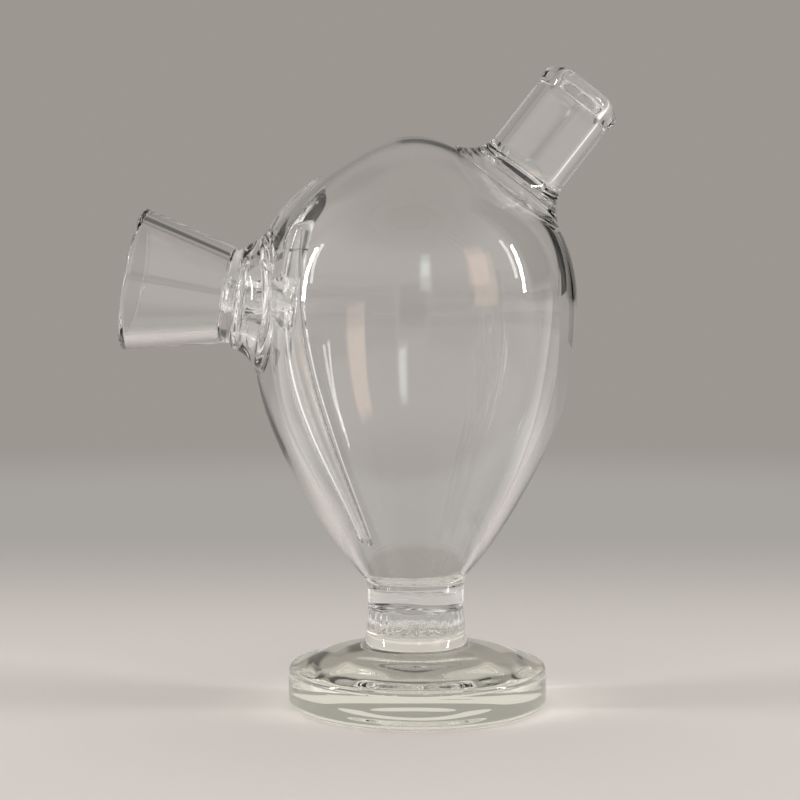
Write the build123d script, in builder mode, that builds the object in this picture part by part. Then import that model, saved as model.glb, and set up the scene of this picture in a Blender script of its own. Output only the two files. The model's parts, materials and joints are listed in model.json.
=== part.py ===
from build123d import *
import os
from math import cos, radians, sin

# Hand-blown glass bubbler: a thick round foot, a short stem with a sealed air pocket, an
# egg-shaped water bulb, a flared inlet cup on the left that feeds an internal downtube, and a
# short mouthpiece tube on the right shoulder. Every joint is a flame weld, so nothing moves.
# Millimetres, +Z up, origin at the centre of the foot's underside, +X towards the mouthpiece.

# Foot
foot_radius = 17.1
foot_rim_height = 5.1
foot_top = 7.9
foot_bottom_round = 0.9
foot_top_round = 0.5
foot_dome_rise = 0.15

# Stem, stacked from the foot up: weld bead, hollow tube, solid floor under the bulb
stem_offset = -0.2
stem_radius = 6.4
stem_base_radius = 7.45
stem_tube_bottom = 9.9
stem_tube_top = 12.9
stem_pocket_radius = 5.1

# Bulb: outlines from the neck up to the crown, as (radius, height) from the bulb's own axis
bulb_offset = -0.5
bulb_neck_height = 16.6
bulb_outline = [
    (6.3, bulb_neck_height),
    (12.35, 24.5),
    (19.1, 37.8),
    (21.4, 51.0),
    (19.9, 61.0),
    (15.3, 67.4),
    (8.2, 72.2),
    (0, 75.2),
]
cavity_outline = [
    (0, 15.6),
    (4.2, 16.5),
    (7.3, 20.3),
    (10.65, 25.5),
    (16.9, 38.55),
    (19.0, 51.0),
    (18.0, 60.3),
    (14.2, 66.0),
    (7.6, 71.0),
    (0, 74.0),
]
neck_slope = (1.0, 1.05)
crown_slope = (-1.0, 0.12)

# Inlet cup, its weld and their air way: the axis starts at the centre of the cup's small end
inlet_x, inlet_z = -23.65, 53.95
inlet_lean = -80.0
inlet_length = 13.9
inlet_small_radius = 6.1
inlet_mouth_radius = 9.45
inlet_wall = 1.45
inlet_floor = 1.5
inlet_lip_round = 0.6
inlet_hole_radius = 1.5
inlet_weld_radius = 8.8
inlet_weld_depth = 3.7
inlet_plug_radius = 5.2
inlet_weld_gap = 1.5
inlet_weld_throat = (7.0, -2.3)
inlet_nose_radius = 2.3
inlet_nose_depth = 6.4
inlet_way_depth = 7.0

# Downtube: stations from the sealed top to the open tip, as (x, z, outer radius)
tube_stations = [
    (-14.9, 66.2, 1.95),
    (-16.7, 56.0, 1.75),
    (-16.0, 46.0, 1.95),
    (-12.6, 36.0, 1.75),
    (-8.9, 26.8, 1.2),
    (-6.7, 22.0, 0.95),
]
tube_wall_share = 0.42
tube_hole_radius = 0.8
tube_end_thickness = 0.5
seal_x, seal_z = -15.2, 66.6
seal_radius = 3.1

# Mouthpiece: the origin of its axis is where it meets the bulb's skin
mouth_x, mouth_z = 13.1, 69.7
mouth_lean = 38.0
mouth_length = 14.8
mouth_tube_start = 2.0
mouth_radius = 5.5
mouth_bore_radius = 3.95
mouth_lip_round = 2.0
mouth_opening_radius = 3.65
mouth_lip_depth = 3.2
mouth_weld_radius = 8.4
mouth_weld_depth = 2.6
mouth_weld_throat = (6.3, -0.5)


def meridian(x, z, lean=0.0):
    """Drawing plane through an axis at (x, z) that leans by lean degrees towards +X:
    local X is the radius and local Y runs along the axis."""
    return Plane(
        origin=(x, 0, z),
        x_dir=(cos(radians(lean)), 0, -sin(radians(lean))),
        z_dir=(0, -1, 0),
    )


def axis_of(plane):
    """The axis of revolution of a meridian plane."""
    return Axis(plane.origin, plane.y_dir)


foot_plane = meridian(0, 0)
stem_plane = meridian(stem_offset, 0)
bulb_plane = meridian(bulb_offset, 0)
inlet_plane = meridian(inlet_x, inlet_z, inlet_lean)
mouth_plane = meridian(mouth_x, mouth_z, mouth_lean)


def finish(part, label):
    """Labels a piece and writes its STEP file."""
    part.label = label
    export_step(part, f"parts/{label}.step")
    print(f"{label:16s} {part.volume:9.1f} mm3")


# Foot: a heavy disc with a low domed top and fire-polished edges
with BuildPart() as foot:
    with BuildSketch(foot_plane) as foot_outline:
        with BuildLine():
            Polyline(
                (stem_base_radius, foot_top),
                (0, foot_top),
                (0, 0),
                (foot_radius, 0),
                (foot_radius, foot_rim_height),
            )
            ThreePointArc(
                (foot_radius, foot_rim_height),
                (
                    (foot_radius + stem_base_radius) / 2,
                    (foot_rim_height + foot_top) / 2 + foot_dome_rise,
                ),
                (stem_base_radius, foot_top),
            )
        make_face()
        rim_corners = foot_outline.vertices().group_by(Axis.X)[-1].sort_by(Axis.Y)
        fillet(rim_corners[0], foot_bottom_round)
        fillet(rim_corners[1], foot_top_round)
    revolve(axis=axis_of(foot_plane))

# Weld bead between the foot and the stem tube: solid glass that flares down to the foot
with BuildPart() as foot_weld:
    with BuildSketch(stem_plane):
        with BuildLine():
            Polyline(
                (stem_radius, stem_tube_bottom),
                (0, stem_tube_bottom),
                (0, foot_top),
                (stem_base_radius - abs(stem_offset), foot_top),
                close=True,
            )
        make_face()
    revolve(axis=axis_of(stem_plane))

# Stem tube: the wall round the sealed air pocket
with BuildPart() as stem:
    with BuildSketch(Plane.XY.offset(stem_tube_bottom).move(Location((stem_offset, 0, 0)))):
        Circle(stem_radius)
        Circle(stem_pocket_radius, mode=Mode.SUBTRACT)
    extrude(amount=stem_tube_top - stem_tube_bottom)

# Solid outer shape of the bulb, and of the space inside it
with BuildPart() as bulb_skin:
    with BuildSketch(bulb_plane):
        with BuildLine():
            Spline(
                bulb_outline,
                tangents=[neck_slope, crown_slope],
                tangent_scalars=(1, 1),
            )
            Polyline(bulb_outline[-1], (0, bulb_neck_height), bulb_outline[0])
        make_face()
    revolve(axis=axis_of(bulb_plane))

with BuildPart() as bulb_space:
    with BuildSketch(bulb_plane):
        with BuildLine():
            Spline(
                cavity_outline,
                tangents=[(1, 0), crown_slope],
                tangent_scalars=(1, 1),
            )
            Line(cavity_outline[-1], cavity_outline[0])
        make_face()
    revolve(axis=axis_of(bulb_plane))

# Bulb floor: the solid puck of glass that closes the bulb and the stem's air pocket
with BuildPart() as bulb_floor:
    with BuildSketch(Plane.XY.offset(stem_tube_top).move(Location((stem_offset, 0, 0)))):
        Circle(stem_radius)
    extrude(amount=bulb_neck_height - stem_tube_top)
    add(bulb_space.part, mode=Mode.SUBTRACT)

# Outer shape of the downtube and its bore, each lofted through the stations
with BuildPart() as tube_outer:
    for x, z, radius in tube_stations:
        with BuildSketch(Plane.XY.offset(z)):
            with Locations((x, 0)):
                Circle(radius)
    loft()

with BuildPart() as tube_bore:
    for x, z, radius in tube_stations:
        with BuildSketch(Plane.XY.offset(z)):
            with Locations((x, 0)):
                Circle(radius * (1 - tube_wall_share))
    loft()
    with Locations((seal_x, 0, seal_z)):
        Sphere(seal_radius + tube_end_thickness, mode=Mode.SUBTRACT)

# Seal at the downtube's top: the blob of glass that closes it and fuses it to the shoulder
with BuildPart() as tube_seal:
    with Locations((seal_x, 0, seal_z)):
        Sphere(seal_radius)
    add(bulb_skin.part, mode=Mode.INTERSECT)

# Plug of the inlet weld: it passes through the bulb's wall and narrows to meet the downtube
with BuildPart() as inlet_plug:
    with BuildSketch(inlet_plane):
        Polygon(
            (0, 0),
            (inlet_plug_radius, 0),
            (inlet_plug_radius, -inlet_weld_gap),
            (inlet_nose_radius, -inlet_nose_depth),
            (0, -inlet_nose_depth),
            align=None,
        )
    revolve(axis=axis_of(inlet_plane))

# Air way from the inlet cup's floor, through the weld, to the middle of the downtube
with BuildPart() as inlet_way:
    with BuildSketch(inlet_plane):
        Polygon(
            (0, inlet_floor),
            (inlet_hole_radius, inlet_floor),
            (tube_hole_radius, -inlet_way_depth),
            (0, -inlet_way_depth),
            align=None,
        )
    revolve(axis=axis_of(inlet_plane))

# Air way of the mouthpiece, from inside the bulb to the start of the tube
with BuildPart() as mouth_way:
    with BuildSketch(mouth_plane):
        with Locations((mouth_bore_radius / 2, 0)):
            Rectangle(mouth_bore_radius, 2 * mouth_weld_radius)
    revolve(axis=axis_of(mouth_plane))

# Bulb: the egg-shaped shell, open where the welds and the mouthpiece go through it
with BuildPart() as bulb:
    add(bulb_skin.part)
    for opening in (bulb_space, tube_seal, inlet_plug, mouth_way):
        add(opening.part, mode=Mode.SUBTRACT)

# Downtube: a drawn tube that tapers to its open tip near the bulb's floor
with BuildPart() as downtube:
    add(tube_outer.part)
    add(bulb_space.part, mode=Mode.INTERSECT)
    add(tube_seal.part, mode=Mode.SUBTRACT)
    add(tube_bore.part, mode=Mode.SUBTRACT)
    add(inlet_way.part, mode=Mode.SUBTRACT)

# Inlet cup: a cone with a flat floor and a small central hole, open to the left
with BuildPart() as inlet_cup:
    with BuildSketch(inlet_plane) as cup_outline:
        Polygon(
            (inlet_hole_radius, 0),
            (inlet_small_radius, 0),
            (inlet_mouth_radius, inlet_length),
            (inlet_mouth_radius - inlet_wall, inlet_length),
            (inlet_small_radius - inlet_wall, inlet_floor),
            (inlet_hole_radius, inlet_floor),
            align=None,
        )
        fillet(cup_outline.vertices().group_by(Axis.Y)[-1], inlet_lip_round)
    revolve(axis=axis_of(inlet_plane))

# Inlet weld: the collar that flares from the cup's small end onto the bulb, and its plug
with BuildPart() as inlet_weld:
    with BuildSketch(inlet_plane):
        with BuildLine():
            Polyline(
                (inlet_weld_radius, -inlet_weld_depth),
                (0, -inlet_weld_depth),
                (0, 0),
                (inlet_small_radius, 0),
            )
            ThreePointArc(
                (inlet_small_radius, 0),
                inlet_weld_throat,
                (inlet_weld_radius, -inlet_weld_depth),
            )
        make_face()
    revolve(axis=axis_of(inlet_plane))
    add(bulb_skin.part, mode=Mode.SUBTRACT)
    add(inlet_plug.part)
    add(tube_outer.part, mode=Mode.SUBTRACT)
    add(inlet_way.part, mode=Mode.SUBTRACT)

# Mouthpiece: a thick straight tube with a rounded, slightly drawn-in lip
with BuildPart() as mouthpiece:
    with BuildSketch(mouth_plane):
        with BuildLine():
            Polyline(
                (mouth_bore_radius, mouth_length - mouth_lip_depth),
                (mouth_bore_radius, mouth_tube_start),
                (mouth_radius, mouth_tube_start),
                (mouth_radius, mouth_length - mouth_lip_round),
            )
            Spline(
                (mouth_radius, mouth_length - mouth_lip_round),
                ((mouth_radius + mouth_opening_radius) / 2, mouth_length),
                (mouth_opening_radius, mouth_length - mouth_lip_round / 2),
                (mouth_bore_radius, mouth_length - mouth_lip_depth),
                tangents=[(0, 1), (0, -1)],
                tangent_scalars=(1, 1),
            )
        make_face()
    revolve(axis=axis_of(mouth_plane))

# Mouthpiece weld: the ring of glass that flares from the tube onto the bulb's shoulder
with BuildPart() as mouthpiece_weld:
    with BuildSketch(mouth_plane):
        with BuildLine():
            Polyline(
                (mouth_weld_radius, -mouth_weld_depth),
                (mouth_bore_radius, -mouth_weld_depth),
                (mouth_bore_radius, mouth_tube_start),
                (mouth_radius, mouth_tube_start),
            )
            ThreePointArc(
                (mouth_radius, mouth_tube_start),
                mouth_weld_throat,
                (mouth_weld_radius, -mouth_weld_depth),
            )
        make_face()
    revolve(axis=axis_of(mouth_plane))
    add(bulb_skin.part, mode=Mode.SUBTRACT)

os.makedirs("parts", exist_ok=True)
finish(foot.part, "foot")
finish(foot_weld.part, "foot_weld")
finish(stem.part, "stem")
finish(bulb_floor.part, "bulb_floor")
finish(bulb.part, "bulb")
finish(tube_seal.part, "tube_seal")
finish(downtube.part, "downtube")
finish(inlet_cup.part, "inlet_cup")
finish(inlet_weld.part, "inlet_weld")
finish(mouthpiece.part, "mouthpiece")
finish(mouthpiece_weld.part, "mouthpiece_weld")
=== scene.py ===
import json
from math import cos, pi, radians, sin

import bmesh
import bpy
import numpy as np
import openvdb
from mathutils import Euler, Matrix, Vector


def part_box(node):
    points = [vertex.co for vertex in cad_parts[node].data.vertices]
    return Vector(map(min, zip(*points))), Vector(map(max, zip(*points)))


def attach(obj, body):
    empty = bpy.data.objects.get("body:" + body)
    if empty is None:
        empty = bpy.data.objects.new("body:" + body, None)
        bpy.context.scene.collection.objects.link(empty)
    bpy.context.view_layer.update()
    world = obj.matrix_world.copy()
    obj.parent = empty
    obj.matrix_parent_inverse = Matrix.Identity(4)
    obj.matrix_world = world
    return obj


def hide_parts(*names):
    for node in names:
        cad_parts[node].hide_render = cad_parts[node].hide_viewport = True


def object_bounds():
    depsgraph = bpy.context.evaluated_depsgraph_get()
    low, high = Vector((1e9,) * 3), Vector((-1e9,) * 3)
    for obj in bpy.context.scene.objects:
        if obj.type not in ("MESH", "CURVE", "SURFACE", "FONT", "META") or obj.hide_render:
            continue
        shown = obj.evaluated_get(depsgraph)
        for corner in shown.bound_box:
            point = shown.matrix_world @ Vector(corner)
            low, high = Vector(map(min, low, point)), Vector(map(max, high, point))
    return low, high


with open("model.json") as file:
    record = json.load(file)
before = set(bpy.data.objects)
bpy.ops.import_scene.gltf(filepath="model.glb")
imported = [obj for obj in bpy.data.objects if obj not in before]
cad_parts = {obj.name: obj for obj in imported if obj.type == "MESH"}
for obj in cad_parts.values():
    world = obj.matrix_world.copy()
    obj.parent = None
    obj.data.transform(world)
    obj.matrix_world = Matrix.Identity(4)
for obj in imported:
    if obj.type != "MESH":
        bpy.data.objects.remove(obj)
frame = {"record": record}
cad_low, cad_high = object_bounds()

# Shapes are worked out in millimetres and written to the meshes in metres.
MM = 0.001


# ---------------------------------------------------------------- places from the frame

def box_mm(node):
    """Lowest and highest corner of a CAD node, in millimetres."""
    low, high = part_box(node)
    return np.array(low) / MM, np.array(high) / MM


mounts = {m["name"]: m for m in frame["record"]["mounts"]}
foot_high = box_mm("foot")[1]
bead_high = box_mm("foot_weld")[1]
stem_low, stem_high = box_mm("stem")
floor_high = box_mm("bulb_floor")[1]
bulb_high = box_mm("bulb")[1]

foot_radius = foot_high[0]
foot_top = foot_high[2]
bead_radius = bead_high[1]
stem_x = (stem_low[0] + stem_high[0]) / 2
stem_radius = stem_high[1]
pocket_low, pocket_high = stem_low[2], stem_high[2]
neck_z = floor_high[2]
bulb_radius = bulb_high[1]
bulb_x = bulb_high[0] - bulb_radius
bulb_height = bulb_high[2] - neck_z
centre_z = neck_z + 0.54 * bulb_height

cup_axis = np.array(mounts["inlet_socket"]["axis"])
cup_length = 13.9
cup_base = np.array(mounts["inlet_socket"]["pos_m"]) / MM - cup_length * cup_axis
mouth_axis = np.array(mounts["mouthpiece_hose"]["axis"])
mouth_radius = mounts["mouthpiece_hose"]["dims"]["r_mm"]
mouth_length = 14.8
mouth_base = np.array(mounts["mouthpiece_hose"]["pos_m"]) / MM - mouth_length / 2 * mouth_axis

# Heights at which the pieces are cut apart: in z for the downtube, and along the cup's and
# the mouthpiece's own axes for their welds
tube_cut = 60.0
cup_weld_depth = 1.6
mouth_weld_low, mouth_weld_high = -0.6, 2.0

# Sizes of the blown glass that the frame doesn't give
foot_edge_height = 5.15
pocket_radius = 5.0
cup_radius, cup_inner_radius = 6.1, 4.3
cup_flare = 0.241
cup_slant = 0.972
cup_floor_thickness = 1.5
cup_collar_radius = 6.75
air_way_radius = 1.5
mouth_bore_radius = 3.95
seal_centre = (-15.2, 0.0, 66.6)
seal_radius = 3.1
nose_radius = 2.75
bulb_floor_height = 17.5
pit_radius, pit_floor_height = 4.6, 15.1
tube_reach = 0.15


# ---------------------------------------------------------------- distance-field tools

def smooth_curve(points, start_slope=0.0, end_slope=0.0, samples=4000):
    """A clamped cubic spline through (x, y) points, as a function of x."""
    x, y = np.array(points, float).T
    n, h, rise = len(x), np.diff(x), np.diff(y) / np.diff(x)
    matrix, right = np.zeros((n, n)), np.zeros(n)
    matrix[0, 0] = matrix[-1, -1] = 1
    right[0], right[-1] = start_slope, end_slope
    for i in range(1, n - 1):
        matrix[i, i - 1 : i + 2] = h[i], 2 * (h[i - 1] + h[i]), h[i - 1]
        right[i] = 3 * (h[i] * rise[i - 1] + h[i - 1] * rise[i])
    slope = np.linalg.solve(matrix, right)
    at = np.linspace(x[0], x[-1], samples)
    k = np.clip(np.searchsorted(x, at) - 1, 0, n - 2)
    t = (at - x[k]) / h[k]
    table = (
        (1 + 2 * t) * (1 - t) ** 2 * y[k]
        + t * (1 - t) ** 2 * h[k] * slope[k]
        + t * t * (3 - 2 * t) * y[k + 1]
        - t * t * (1 - t) * h[k] * slope[k + 1]
    )
    return lambda value: np.interp(value, at, table)


def join(a, b, fillet):
    """Union of two distance fields with a fillet, as molten glass flows together."""
    return np.maximum(fillet, np.minimum(a, b)) - np.hypot(
        np.maximum(fillet - a, 0), np.maximum(fillet - b, 0)
    )


def meet(a, b, rounding):
    """Intersection of two distance fields with a rounded edge."""
    return np.minimum(-rounding, np.maximum(a, b)) + np.hypot(
        np.maximum(rounding + a, 0), np.maximum(rounding + b, 0)
    )


def cut(a, b, rounding):
    """Field a with field b taken out of it, with a rounded edge."""
    return meet(a, -b, rounding)


def along(x, y, z, origin, axis):
    """Height along an axis in the XZ plane, and radius from it."""
    dx, dz = x - origin[0], z - origin[2]
    return dx * axis[0] + dz * axis[2], np.hypot(dx * axis[2] - dz * axis[0], y)


def waves(x, y, z, phase):
    """Slow unevenness of hand-blown glass, between about -1 and 1."""
    return (
        np.sin(0.21 * x + 0.13 * z + phase) * np.cos(0.19 * y - 0.07 * z + 2 * phase)
        + np.sin(0.33 * y + 0.11 * x - 0.17 * z + 3 * phase)
    ) / 2


# ---------------------------------------------------------------- the glass, part by part

def polar_outline(outline):
    """A bulb outline, given as shares of its radius and height, turned into radius against
    polar angle about the bulb's centre."""
    points = []
    for radius_share, height_share in outline:
        r = radius_share * bulb_radius
        z = neck_z + height_share * bulb_height - centre_z
        points.append((np.arctan2(r, z), np.hypot(r, z)))
    return smooth_curve(points)


skin_at = polar_outline(
    [
        (0.0, 1.0),
        (0.383, 0.949),
        (0.715, 0.867),
        (0.929, 0.758),
        (1.0, 0.587),
        (0.892, 0.362),
        (0.577, 0.135),
        (0.294, 0.0),
        (0.0, -0.06),
    ]
)
hollow_at = polar_outline(
    [
        (0.0, 0.980),
        (0.360, 0.929),
        (0.672, 0.843),
        (0.846, 0.746),
        (0.888, 0.587),
        (0.789, 0.375),
        (0.497, 0.152),
        (0.345, 0.063),
        (0.236, 0.0),
        (0.0, -0.08),
    ]
)
tube_centre_at = smooth_curve(
    [(21.0, -6.4), (26.8, -8.9), (36.0, -12.6), (46.0, -16.0), (56.0, -16.7), (66.2, -14.9)],
    start_slope=-0.45,
    end_slope=0.25,
)
tube_radius_at = smooth_curve(
    [(21.0, 0.95), (26.8, 1.2), (36.0, 1.75), (46.0, 1.95), (56.0, 1.8), (66.2, 1.95)]
)


def egg(x, y, z, outline):
    across, up = np.hypot(x - bulb_x, y), z - centre_z
    return np.hypot(across, up) - outline(np.arctan2(across, up))


def foot_field(x, y, z):
    """The low domed foot, with the faint rings that turning leaves on both of its faces."""
    radius = np.hypot(x, y)
    rise = (foot_top - foot_edge_height) / (1 - (bead_radius / foot_radius) ** 2)
    dome = foot_edge_height + rise * (1 - (radius / foot_radius) ** 2)
    dome = dome - 0.11 * (1 - np.cos(1.3 * np.maximum(radius - bead_radius, 0)))
    disc = meet(radius - foot_radius, z - dome, 0.5)
    under = 0.05 * (1 + np.cos(0.8 * radius + 0.3 * np.sin(0.4 * x + 0.3 * y)))
    return meet(disc, under - z, 0.9)


def stem_field(x, y, z):
    """The stem, with the bead that flares down to the foot."""
    radius = np.hypot(x - stem_x, y)
    flare = np.clip((pocket_low - z) / (pocket_low - foot_top), 0, 1)
    swell = 0.12 * np.exp(-(((z - 10.4) / 0.9) ** 2))
    stem = radius - stem_radius - swell - (bead_radius - stem_radius) * flare**1.6
    return np.maximum(stem, np.maximum(4 - z, z - neck_z - 1.5))


def pocket_field(x, y, z):
    """The sealed air pocket in the stem, wrinkled where its hot wall was squeezed."""
    radius, turn = np.hypot(x - stem_x, y), np.arctan2(y, x - stem_x)
    folds = np.sin(29 * turn + 2 * np.sin(3 * turn)) * (0.6 + 0.4 * np.sin(5 * turn + 1))
    wall = radius - pocket_radius - 0.07 * folds * np.clip((pocket_high + 0.4 - z) / 1.6, 0.15, 1)
    ragged = np.sin(17 * turn + 2 * np.sin(4 * turn)) + 0.6 * np.sin(37 * turn)
    low = pocket_low - 0.05 + 0.10 * ragged
    high = pocket_high + 0.05 + 0.12 * np.sin(3 * turn + 2) + 0.07 * np.sin(8 * turn)
    return meet(wall, np.maximum(low - z, z - high), 0.35)


def cup_field(x, y, z):
    """The inlet cup with the collar that welds it to the bulb."""
    height, radius = along(x, y, z, cup_base, cup_axis)
    wall = (radius - cup_radius - cup_flare * height) * cup_slant
    cone = meet(wall, height - cup_length, 0.55)
    cone = meet(cone, -height - 1, 0.1)
    collar = meet(radius - cup_collar_radius, np.maximum(height + 0.25, -height - 6), 0.5)
    return join(cone, collar, 0.35)


def cup_space_field(x, y, z):
    """Inside of the inlet cup, and the air way through its floor into the downtube."""
    height, radius = along(x, y, z, cup_base, cup_axis)
    wall = (radius - cup_inner_radius - cup_flare * height) * cup_slant
    inside = meet(wall, cup_floor_thickness - height, 0.5)
    way = radius - air_way_radius + 0.08 * np.clip(-height - 1, 0, 6)
    way = np.maximum(way, np.maximum(height - 2.5, -height - 7))
    return join(inside, way, 0.4)


def pipe_field(x, y, z):
    """The mouthpiece tube with its rounded lip."""
    height, radius = along(x, y, z, mouth_base, mouth_axis)
    pipe = meet(radius - mouth_radius, height - mouth_length, 2.0)
    rim = np.hypot(radius - mouth_radius + 1.15, height - mouth_length + 1.9) - 1.35
    return np.maximum(join(pipe, rim, 0.4), -height - 2.5)


def pipe_bore_field(x, y, z):
    height, radius = along(x, y, z, mouth_base, mouth_axis)
    drawn_in = 0.35 * np.clip((height - mouth_length + 3.2) / 2.2, 0, 1)
    return np.maximum(radius - mouth_bore_radius + drawn_in, -height - 4)


def bulb_space_field(x, y, z):
    """The space inside the bulb, with the pit in its floor and the pockets behind its welds."""
    space = egg(x, y, z, hollow_at) + 0.07 * waves(x, y, z, 0.7)
    space = meet(space, bulb_floor_height - z, 0.6)
    floor = pit_floor_height - 0.05 * x
    pit = meet(np.hypot(x - bulb_x, y) - pit_radius, np.maximum(floor - z, z - 20), 0.35)
    space = join(space, pit, 1.2)
    height, radius = along(x, y, z, mouth_base, mouth_axis)
    behind_mouth = meet(radius - 5.9, np.maximum(height + 1.3, -height - 5), 0.5)
    space = join(space, behind_mouth, 1.2)
    height, radius = along(x, y, z, cup_base, cup_axis)
    behind_cup = meet(radius - 4.5, np.maximum(height + 0.75, -height - 6), 0.7)
    return join(space, behind_cup, 2.4)


def tube_field(x, y, z):
    """The downtube with the nose that joins it to the cup's floor, and its seal."""
    radius = np.hypot(x - tube_centre_at(z), y)
    tube = (radius - tube_radius_at(z)) * 0.94
    tube = np.maximum(meet(tube, 22.0 - 0.3 * (x + 7) - z, 0.2), z - 66)
    height, radius = along(x, y, z, cup_base, cup_axis)
    nose = np.maximum(radius - nose_radius, np.maximum(height, -height - 6.8))
    seal_x, seal_y, seal_z = seal_centre
    from_seal = np.sqrt((x - seal_x) ** 2 + (y - seal_y) ** 2 + (z - seal_z) ** 2)
    return join(join(tube, nose, 1.3), from_seal - seal_radius, 1.4)


def tube_bore_field(x, y, z):
    """The bore of the downtube, which narrows towards the seal."""
    radius = np.hypot(x - tube_centre_at(z), y)
    drawn_shut = np.clip((66 - z) / 10, 0.1, 1)
    bore = (radius - 0.58 * tube_radius_at(z) * drawn_shut) * 0.94
    return meet(bore, np.maximum(20 - z, z - 63.2), 0.4)


def glass(x, y, z):
    """The distance field of the whole object: below 0 in the glass, above 0 outside it."""
    skin = egg(x, y, z, skin_at) + 0.06 * waves(x, y, z, 2.1)
    body = join(foot_field(x, y, z), stem_field(x, y, z), 0.25)
    body = join(body, skin, 0.9)
    body = join(body, cup_field(x, y, z), 3.0)
    body = join(body, pipe_field(x, y, z), 3.9)
    space = join(bulb_space_field(x, y, z), pipe_bore_field(x, y, z), 0.7)
    body = cut(body, space, 0.35)
    inner = np.maximum(tube_field(x, y, z), skin + 0.2)
    body = join(body, inner, 0.5)
    body = cut(body, cup_space_field(x, y, z), 0.5)
    body = cut(body, tube_bore_field(x, y, z), 0.12)
    return np.maximum(body, -pocket_field(x, y, z))


# ---------------------------------------------------------------- meshes

def slope_of(points, step=0.03):
    """Gradient of the glass field at points."""
    slopes = []
    for axis in range(3):
        shift = np.zeros(3)
        shift[axis] = step
        slopes.append((glass(*(points + shift).T) - glass(*(points - shift).T)) / (2 * step))
    return np.stack(slopes, 1)


def surface(low, high, voxel):
    """Vertices and quads of the glass's surface inside a box."""
    low, high = np.array(low, float), np.array(high, float)
    count = np.ceil((high - low) / voxel).astype(int)
    x, y, z = (low[i] + voxel * np.arange(count[i]) for i in range(3))
    field = glass(x[:, None, None], y[None, :, None], z[None, None, :])
    band = 3 * voxel
    grid = openvdb.FloatGrid(background=band)
    grid.copyFromArray(np.clip(field, -band, band).astype(np.float32))
    points, quads = grid.convertToQuads(0.0)
    points = low + voxel * points.astype(float)
    for _ in range(5):
        slope = slope_of(points)
        step = glass(*points.T) / np.maximum((slope**2).sum(1), 0.25)
        points -= slope * np.clip(step, -voxel, voxel)[:, None]
    return points, quads


def to_bmesh(points, quads):
    shell = bmesh.new()
    corners = [shell.verts.new(p) for p in points]
    for quad in quads:
        if len(set(quad)) == 4:
            shell.faces.new([corners[i] for i in quad])
    return shell


cuts = []


def slice_along(shell, point, normal, near=None):
    """Cuts the faces of a shell along a plane; near limits it to faces for which it is true."""
    cuts.append((Vector(point), Vector(normal)))
    faces = [f for f in shell.faces if near is None or near(f.calc_center_median())]
    edges = {e for f in faces for e in f.edges}
    verts = {v for f in faces for v in f.verts}
    bmesh.ops.bisect_plane(
        shell, geom=[*verts, *edges, *faces], plane_co=point, plane_no=normal, dist=1e-5
    )


def glass_piece(name, shell, inside, gap=0.0015):
    """Takes the faces of a shell whose centres are inside, and closes them with flat caps
    where the piece is welded to its neighbours."""
    piece = shell.copy()
    centres = np.array([f.calc_center_median() for f in piece.faces])
    keep = inside(*centres.T)
    drop = [f for f, k in zip(piece.faces, keep) if not k]
    bmesh.ops.delete(piece, geom=drop, context="FACES")
    for point, normal in cuts:
        rims = [
            e
            for e in piece.edges
            if e.is_boundary and max(abs((v.co - point).dot(normal)) for v in e.verts) < 1e-4
        ]
        if not rims:
            continue
        made = bmesh.ops.triangle_fill(piece, edges=rims, use_beauty=False, normal=normal)
        faces = [f for f in made["geom"] if isinstance(f, bmesh.types.BMFace)]
        body_side = 1 if (centres[keep].mean(0) - np.array(point)) @ np.array(normal) > 0 else -1
        for face in faces:
            face.material_index = 1
            face.normal_update()
            if face.normal.dot(normal) * body_side > 0:
                face.normal_flip()
        for v in {v for f in faces for v in f.verts}:
            v.co += gap * body_side * normal
    mesh = bpy.data.meshes.new(name)
    piece.to_mesh(mesh)
    piece.free()
    soft = slope_of(np.array([v.co for v in mesh.vertices]))
    soft /= np.linalg.norm(soft, axis=1)[:, None]
    normals = []
    for polygon in mesh.polygons:
        flat = polygon.material_index == 1
        polygon.use_smooth = not flat
        for vertex in polygon.vertices:
            normals.append(tuple(polygon.normal) if flat else tuple(soft[vertex]))
    mesh.transform(Matrix.Scale(MM, 4))
    mesh.normals_split_custom_set(normals)
    obj = bpy.data.objects.new(name, mesh)
    bpy.context.scene.collection.objects.link(obj)
    return obj


def cup_height(x, y, z):
    return along(x, y, z, cup_base, cup_axis)[0]


def mouth_height(x, y, z):
    height, radius = along(x, y, z, mouth_base, mouth_axis)
    return np.where(radius < 12, height, -9)


def is_tube(x, y, z):
    """True on the downtube, up to the cut under its seal and to the cup's weld."""
    return (
        (tube_field(x, y, z) < tube_reach)
        & (z < tube_cut)
        & (z > neck_z + 2)
        & (cup_height(x, y, z) < -cup_weld_depth)
    )


def is_bulb(x, y, z):
    return (
        (z > neck_z)
        & (cup_height(x, y, z) < -cup_weld_depth)
        & (mouth_height(x, y, z) < mouth_weld_low)
        & ~is_tube(x, y, z)
    )


margin = 1.2
voxel = 0.34
stem_voxel = 0.17
whole = to_bmesh(
    *surface(np.array(cad_low) / MM - margin, np.array(cad_high) / MM + margin, voxel)
)
slice_along(whole, (0, 0, foot_top), (0, 0, 1))
slice_along(whole, (0, 0, neck_z), (0, 0, 1))
for height in (0, -cup_weld_depth):
    slice_along(whole, cup_base + height * cup_axis, cup_axis)
for height in (mouth_weld_low, mouth_weld_high):
    slice_along(whole, mouth_base + height * mouth_axis, mouth_axis)
slice_along(
    whole,
    (0, 0, tube_cut),
    (0, 0, 1),
    near=lambda c: abs(c.z - tube_cut) < 2 and tube_field(c.x, c.y, c.z) < tube_reach,
)
reach = bead_radius + margin
stem_shell = to_bmesh(
    *surface((-reach, -reach, foot_top - 1), (reach, reach, neck_z + 1), stem_voxel)
)
for height in (foot_top, pocket_low, pocket_high, neck_z):
    slice_along(stem_shell, (0, 0, height), (0, 0, 1))


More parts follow.
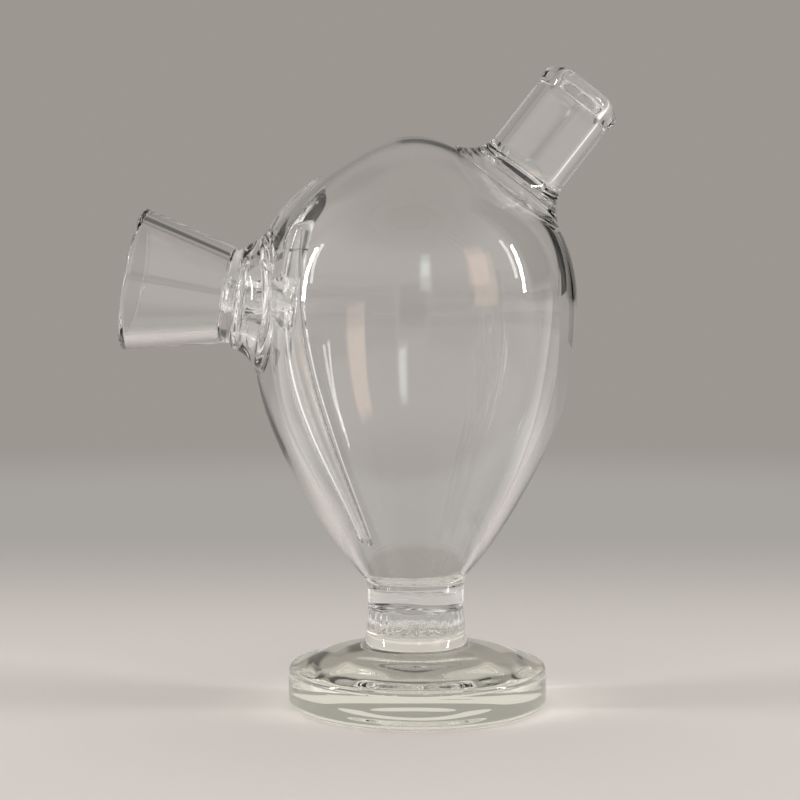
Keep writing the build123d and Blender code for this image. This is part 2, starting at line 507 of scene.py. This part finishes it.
# ---------------------------------------------------------------- materials

def glass_material(name, tint, ior=1.47):
    """Clear blown glass: smooth, with a slight tint. With an ior of 1, as on the caps inside
    a weld where glass runs on into glass, it neither bends nor reflects light."""
    material = bpy.data.materials.new(name)
    material.use_nodes = True
    shader = material.node_tree.nodes["Principled BSDF"]
    shader.inputs["Base Color"].default_value = (*tint, 1)
    shader.inputs["Roughness"].default_value = 0.0
    shader.inputs["IOR"].default_value = ior
    shader.inputs["Transmission Weight"].default_value = 1.0
    return material


tints = {
    "clear_glass": (0.995, 1.0, 0.998),
    "weld_glass": (0.990, 1.0, 0.995),
    "foot_glass": (0.960, 0.970, 0.880),
}
glasses = {name: glass_material(name, tint) for name, tint in tints.items()}
weld_caps = {name: glass_material(name + "_in", (1, 1, 1), 1.0) for name in tints}


def in_foot(x, y, z):
    return z < foot_top


def in_bead(x, y, z):
    return (z > foot_top) & (z < pocket_low)


def in_stem(x, y, z):
    return (z > pocket_low) & (z < pocket_high)


def in_base(x, y, z):
    return (z > pocket_high) & (z < neck_z)


def in_cup(x, y, z):
    return cup_height(x, y, z) > 0


def in_cup_collar(x, y, z):
    height = cup_height(x, y, z)
    return (height < 0) & (height > -cup_weld_depth)


def in_mouth_tube(x, y, z):
    return mouth_height(x, y, z) > mouth_weld_high


def in_mouth_collar(x, y, z):
    height = mouth_height(x, y, z)
    return (height < mouth_weld_high) & (height > mouth_weld_low)


pieces = [
    ("foot_disc", whole, in_foot, "foot_glass", ["foot"]),
    ("foot_bead", stem_shell, in_bead, "clear_glass", ["foot_weld"]),
    ("stem_tube", stem_shell, in_stem, "clear_glass", ["stem"]),
    ("bulb_base", stem_shell, in_base, "clear_glass", ["bulb_floor"]),
    ("bulb_shell", whole, is_bulb, "clear_glass", ["bulb", "tube_seal"]),
    ("inner_downtube", whole, is_tube, "clear_glass", ["downtube"]),
    ("cup", whole, in_cup, "clear_glass", ["inlet_cup"]),
    ("cup_collar", whole, in_cup_collar, "weld_glass", ["inlet_weld"]),
    ("mouth_tube", whole, in_mouth_tube, "clear_glass", ["mouthpiece"]),
    ("mouth_collar", whole, in_mouth_collar, "weld_glass", ["mouthpiece_weld"]),
]
for name, shell, inside, slot, nodes in pieces:
    piece = glass_piece(name, shell, inside)
    piece.data.materials.append(glasses[slot])
    piece.data.materials.append(weld_caps[slot])
    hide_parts(*nodes)
    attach(piece, "root")
    # The light that falls through the foot is lit_under_foot's, so the foot casts no shadow.
    piece.visible_shadow = name not in ("foot_disc", "foot_bead")


# ---------------------------------------------------------------- table and room

# Grey paper sweep, as linear colours: pale in front, darker behind
paper_near = (0.77, 0.73, 0.70)
paper_far = (0.387, 0.366, 0.342)
backdrop = (0.337, 0.310, 0.287)


def glow_material(name):
    """Light given off in the colours of the mesh's own colour attribute."""
    material = bpy.data.materials.new(name)
    material.use_nodes = True
    nodes = material.node_tree.nodes
    nodes.remove(nodes["Principled BSDF"])
    colour = nodes.new("ShaderNodeAttribute")
    colour.attribute_name = "glow"
    light = nodes.new("ShaderNodeEmission")
    material.node_tree.links.new(colour.outputs["Color"], light.inputs["Color"])
    material.node_tree.links.new(light.outputs[0], nodes["Material Output"].inputs["Surface"])
    return material


def paper_material():
    """Pale paper near the object that fades into the even grey of the backdrop."""
    material = bpy.data.materials.new("paper_sweep")
    material.use_nodes = True
    nodes, links = material.node_tree.nodes, material.node_tree.links
    place = nodes.new("ShaderNodeNewGeometry")
    length = nodes.new("ShaderNodeVectorMath")
    length.operation = "LENGTH"
    links.new(place.outputs["Position"], length.inputs[0])
    split = nodes.new("ShaderNodeSeparateXYZ")
    links.new(place.outputs["Position"], split.inputs[0])

    def fade_over(socket, start, end):
        fade = nodes.new("ShaderNodeMapRange")
        fade.interpolation_type = "SMOOTHSTEP"
        fade.inputs["From Min"].default_value = start
        fade.inputs["From Max"].default_value = end
        links.new(socket, fade.inputs["Value"])
        return fade.outputs["Result"]

    behind = fade_over(split.outputs["Y"], 0.0, 0.17)
    around = fade_over(length.outputs["Value"], 0.7, 1.6)
    furthest = nodes.new("ShaderNodeMath")
    furthest.operation = "MAXIMUM"
    links.new(behind, furthest.inputs[0])
    links.new(around, furthest.inputs[1])
    dusk = nodes.new("ShaderNodeMix")
    dusk.data_type = "RGBA"
    dusk.inputs[6].default_value = (*paper_far, 1)
    dusk.inputs[7].default_value = (*backdrop, 1)
    links.new(fade_over(length.outputs["Value"], 0.25, 0.40), dusk.inputs["Factor"])
    grain = nodes.new("ShaderNodeTexNoise")
    grain.inputs["Scale"].default_value = 900
    grain.inputs["Detail"].default_value = 3
    bump = nodes.new("ShaderNodeBump")
    bump.inputs["Strength"].default_value = 0.15
    bump.inputs["Distance"].default_value = 0.0002
    links.new(grain.outputs["Fac"], bump.inputs["Height"])
    paper = nodes["Principled BSDF"]
    paper.inputs["Base Color"].default_value = (*paper_near, 1)
    paper.inputs["Roughness"].default_value = 0.9
    paper.inputs["Specular IOR Level"].default_value = 0.2
    links.new(bump.outputs["Normal"], paper.inputs["Normal"])
    far = nodes.new("ShaderNodeEmission")
    links.new(dusk.outputs[2], far.inputs["Color"])
    mix = nodes.new("ShaderNodeMixShader")
    links.new(furthest.outputs["Value"], mix.inputs["Fac"])
    links.new(paper.outputs["BSDF"], mix.inputs[1])
    links.new(far.outputs["Emission"], mix.inputs[2])
    links.new(mix.outputs["Shader"], nodes["Material Output"].inputs["Surface"])
    return material


def staged(name, verts, faces, material):
    mesh = bpy.data.meshes.new(name)
    mesh.from_pydata(verts, [], faces)
    mesh.materials.append(material)
    obj = bpy.data.objects.new(name, mesh)
    bpy.context.scene.collection.objects.link(obj)
    return obj


# The paper lies a little below the foot, so that their faces stay apart.
under_foot = -0.00015
paper_radius = 4
ring = [
    (paper_radius * cos(a), paper_radius * sin(a), under_foot)
    for a in np.linspace(0, 2 * pi, 96, endpoint=False)
]
staged("paper_sweep", ring, [list(range(len(ring)))], paper_material())

# The room's cards and lights stand around this point.
middle = Vector((0, 0, 0.045))
nearly_black = (0.012, 0.014, 0.012)
dark_grey = (0.10, 0.10, 0.09)


def away(azimuth, elevation):
    """Direction from the object; azimuth 0 is towards the camera, positive to its right."""
    a, e = radians(azimuth), radians(elevation)
    return Vector((sin(a) * cos(e), -cos(a) * cos(e), sin(e)))


def glow_grid(name, points, colours):
    """A sheet through a grid of points that is seen only in reflections and through glass."""
    rows, columns = points.shape[:2]
    faces = []
    for i in range(rows - 1):
        for j in range(columns - 1):
            k = i * columns + j
            faces.append((k, k + 1, k + columns + 1, k + columns))
    sheet = staged(name, points.reshape(-1, 3).tolist(), faces, glow_material(name))
    glow = sheet.data.attributes.new("glow", "FLOAT_COLOR", "POINT")
    flat = np.concatenate([colours.reshape(-1, 3), np.ones((rows * columns, 1))], 1)
    glow.data.foreach_set("color", flat.ravel())
    sheet.visible_camera = False
    sheet.visible_diffuse = False
    sheet.visible_shadow = False


def ramp(value, start, end):
    """Smooth step from 0 at start to 1 at end."""
    t = np.clip((value - start) / (end - start), 0, 1)
    return t * t * (3 - 2 * t)


def room_glow(azimuth, elevation):
    """Colours of the room by direction; azimuth 0 is behind the camera, 180 the backdrop."""

    def blend(colour, patch, mask):
        """The room's colours with a patch of one colour laid over them."""
        return colour + (np.array(patch) - colour) * mask[..., None]

    def patch_mask(azimuths, elevations, soft):
        """1 inside a patch of the room, falling to 0 at its edge."""
        across = np.minimum(azimuth - azimuths[0], azimuths[1] - azimuth)
        up = np.minimum(elevation - elevations[0], elevations[1] - elevation)
        return ramp(np.minimum(across, up), 0, soft)

    a, e = np.radians(azimuth), np.radians(elevation)
    rear = np.degrees(np.arccos(np.clip(-np.cos(a) * np.cos(e), -1, 1)))
    colour = np.ones((*azimuth.shape, 3)) * np.array(backdrop)

    # Pale walls in front and at the sides, duller low down, with a corner in painted shade at the
    # right
    front = ramp(np.abs(azimuth), 129, 105) * ramp(elevation, 75, 35)
    colour = blend(colour, (0.92, 0.88, 0.85), front)
    colour = blend(colour, (0.45, 0.43, 0.41), patch_mask((12, 122), (0, 12), 3))
    colour = blend(colour, (0.55, 0.53, 0.50), patch_mask((-122, -12), (0, 12), 3))
    colour = blend(colour, dark_grey, patch_mask((86, 122), (0, 62), 5))

    # An unlit ring round the backdrop, darker over its top and nearly black low down, as painted
    # shade
    unlit = ramp(rear, 29, 33) * ramp(rear, 48, 44) * ramp(elevation, 1, 3)
    colour = blend(colour, (0.28, 0.27, 0.25), unlit)
    behind = (azimuth + 360) % 360 - 180
    above = ramp(behind, 10, 4) * ramp(behind, -34, -26)
    colour = blend(colour, dark_grey, unlit * above)
    # Painted shade: nearly black in the unlit ring below this height, lower at the left
    black_shade_top = np.where(azimuth < 0, 18, 32)
    black_shade = unlit * ramp(elevation - black_shade_top, 0, -10)
    colour = blend(colour, nearly_black, black_shade)

    # A warm lit wall, a bright opening behind the camera and the photographer
    colour = blend(colour, (3.4, 2.6, 2.1), patch_mask((40, 60), (1, 33), 2.5))
    colour = blend(colour, (3.8, 4.2, 4.0), patch_mask((3, 13), (9, 30), 3))
    return blend(colour, (0.22, 0.21, 0.20), patch_mask((-12, 12), (-3, 8), 3))


def room():
    """The room as a dome of colours."""
    turns, rises = np.linspace(-180, 180, 241), np.linspace(-3, 90, 63)
    azimuth, elevation = np.meshgrid(turns, rises)
    a, e = np.radians(azimuth), np.radians(elevation)
    rays = np.stack([np.sin(a) * np.cos(e), -np.cos(a) * np.cos(e), np.sin(e)], -1)
    glow_grid("room", np.array(middle) + 2.5 * rays, room_glow(azimuth, elevation))


def bright_table():
    """The well lit table in front of the object and at its sides, as the glass shows it."""
    turn, radius = np.meshgrid(np.radians(np.linspace(-120, 120, 65)), np.geomspace(0.035, 1.8, 41))
    points = np.stack(
        [radius * np.sin(turn), -radius * np.cos(turn), np.full_like(turn, 0.0006)], -1
    )
    lit = (ramp(radius, 0.025, 0.09) * ramp(radius, 0.8, 0.5))[..., None]
    glow_grid("bright_table", points, np.array((0.58, 0.55, 0.53)) * (1 + 0.95 * lit))


def standing_band(name, distance, low, high, turns, colour):
    """An upright curved card about the object; turns are measured from straight behind it."""
    azimuth, height = np.meshgrid(np.radians(np.linspace(*turns, 25)), (low, high))
    points = np.stack([distance * np.sin(azimuth), distance * np.cos(azimuth), height], -1)
    glow_grid(name, points, np.ones_like(points) * colour)


def lit_under_foot():
    """The light on the paper beneath the foot, as the glass shows it."""
    turn, radius = np.meshgrid(np.linspace(0, 2 * pi, 49), (0.0001, foot_radius * MM - 0.0006))
    height = np.full_like(turn, under_foot / 2)
    points = np.stack([radius * np.cos(turn), radius * np.sin(turn), height], -1)
    glow_grid("lit_under_foot", points, np.ones_like(points) * (0.56, 0.53, 0.50))


room()
bright_table()
lit_under_foot()
# Nearly black cards behind the object at either side, seen only in the glass: painted shade
standing_band("painted_shade_card_left", 0.45, 0.012, 0.19, (-45, -32), nearly_black)
standing_band("painted_shade_card_right", 0.45, 0.012, 0.19, (32, 45), nearly_black)
# Cards close behind the foot, seen only through its glass: a pale strip of painted light and a grey
# strip of painted shade above it
standing_band("pale_strip", 0.026, 0, 0.0046, (-110, 110), (0.72, 0.69, 0.65))
standing_band("grey_strip", 0.026, 0.0046, 0.0085, (-110, 110), (0.36, 0.35, 0.33))


def window(name, azimuth, elevation, distance, width, height, radiance):
    """A bright panel, in metres, that faces the object."""
    light = bpy.data.lights.new(name, "AREA")
    light.shape = "RECTANGLE"
    light.size, light.size_y = width, height
    light.energy = radiance * width * height * pi
    panel = bpy.data.objects.new(name, light)
    bpy.context.scene.collection.objects.link(panel)
    direction = away(azimuth, elevation)
    panel.location = middle + direction * distance
    panel.rotation_euler = direction.to_track_quat("Z", "Y").to_euler()
    panel.visible_camera = False
    return panel


window("right_window", 82, 19, distance=1.5, width=0.08, height=0.70, radiance=50)
window("left_window", -82, 17, distance=1.5, width=0.08, height=0.75, radiance=52)
ceiling = window("ceiling", 0, 88, distance=1.6, width=2.4, height=2.4, radiance=0.62)
ceiling.visible_glossy = False
ceiling.visible_transmission = False

scene = bpy.context.scene
scene.world = bpy.data.worlds.new("room")
scene.world.use_nodes = True
scene.world.node_tree.nodes["Background"].inputs["Color"].default_value = (*backdrop, 1)


# ---------------------------------------------------------------- camera and rendering

camera_tilt_down = 3.8
camera_data = bpy.data.cameras.new("camera")
camera_data.sensor_width = 36
camera_data.lens = 85.5
camera = bpy.data.objects.new("camera", camera_data)
camera.location = (-0.0023, -0.25, 0.057)
camera.rotation_euler = Euler((radians(90 - camera_tilt_down), 0, 0))
scene.collection.objects.link(camera)
scene.camera = camera

scene.view_settings.view_transform = "Standard"
scene.cycles.max_bounces = 32
scene.cycles.transmission_bounces = 32
scene.cycles.glossy_bounces = 16
scene.cycles.use_denoising = True
scene.cycles.sample_clamp_indirect = 8
